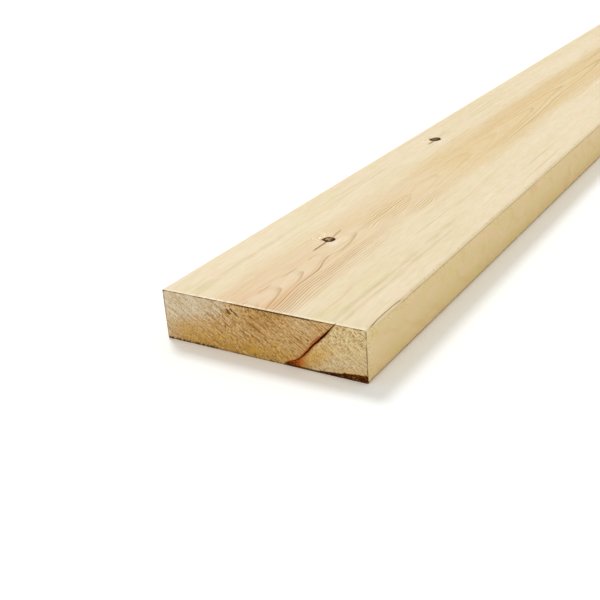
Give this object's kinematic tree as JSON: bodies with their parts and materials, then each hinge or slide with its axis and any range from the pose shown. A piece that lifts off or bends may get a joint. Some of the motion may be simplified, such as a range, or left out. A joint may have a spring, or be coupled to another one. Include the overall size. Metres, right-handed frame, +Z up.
{
  "type": "timber plank",
  "caption": "Flat sawn softwood plank with eased arrises, square cut ends, a drying shake across one end and a torn lower end edge.",
  "frame": {"origin": "middle of the underside, at the centre of the plank's length and width", "axes": "+Y along the length, from the end with the drying shake towards the clean end; +X across the width, towards the unevenly eased arris; +Z up through the thickness, from the underside to the top face"},
  "size_m": [0.2, 2.4, 0.047],
  "materials": {
    "sawn_softwood": "bare sawn and regularised softwood, unplaned, dry and matt"
  },
  "bodies": {
    "root": {"plank": "sawn_softwood"}
  },
  "joints": []
}
